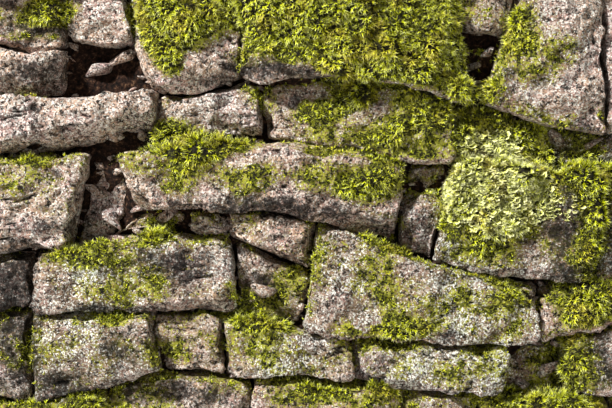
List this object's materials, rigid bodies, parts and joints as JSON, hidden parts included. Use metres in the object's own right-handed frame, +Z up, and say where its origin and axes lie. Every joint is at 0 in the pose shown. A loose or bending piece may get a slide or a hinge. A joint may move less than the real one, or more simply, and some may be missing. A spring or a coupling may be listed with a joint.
{
  "type": "dry stone wall",
  "caption": "Free-standing length of double-faced dry stone wall: battered rubble faces tied by through stones, packed with hearting and closed by rough flat caps.",
  "frame": {"origin": "on the ground, under the middle of the wall", "axes": "+X along the wall, -Y out of the seen face, +Z up"},
  "size_m": [1.6996, 0.6221, 1.0971],
  "materials": {
    "face_stone": "rough, weathered granite with lichen and moss",
    "cap_stone": "rough, weathered granite with lichen and moss",
    "hearting": "broken stone, earthy",
    "moss": "moss and soil clinging to the stone, matt"
  },
  "bodies": {
    "root": {"back_course_1": "face_stone", "back_course_2": "face_stone", "back_course_3": "face_stone", "back_course_4": "face_stone", "back_course_5": "face_stone", "back_course_6": "face_stone", "back_course_7": "face_stone", "back_course_8": "face_stone", "back_course_9": "face_stone", "broad_left_stone": "face_stone", "broad_right_stone": "face_stone", "cap_stones": "cap_stone", "cracked_stone": "face_stone", "front_course_1": "face_stone", "front_course_2": "face_stone", "front_course_3": "face_stone", "front_course_4": "face_stone", "front_course_5": "face_stone", "front_course_6": "face_stone", "front_course_7": "face_stone", "front_course_8": "face_stone", "front_course_9": "face_stone", "layered_slab": "face_stone", "left_end_packing": "hearting", "left_end_ties": "face_stone", "left_layered_stone": "face_stone", "level_stone": "face_stone", "lichened_stone": "face_stone", "long_central_stone": "face_stone", "long_lower_stone": "face_stone", "lower_hearting": "hearting", "middle_hearting": "hearting", "mossy_block": "face_stone", "mossy_boulder": "face_stone", "right_end_packing": "hearting", "right_end_ties": "face_stone", "round_boulder": "face_stone", "slanted_wedge": "face_stone", "striated_stone": "face_stone", "through_stones": "face_stone", "top_left_block": "face_stone", "upper_hearting": "hearting"}
  },
  "joints": []
}
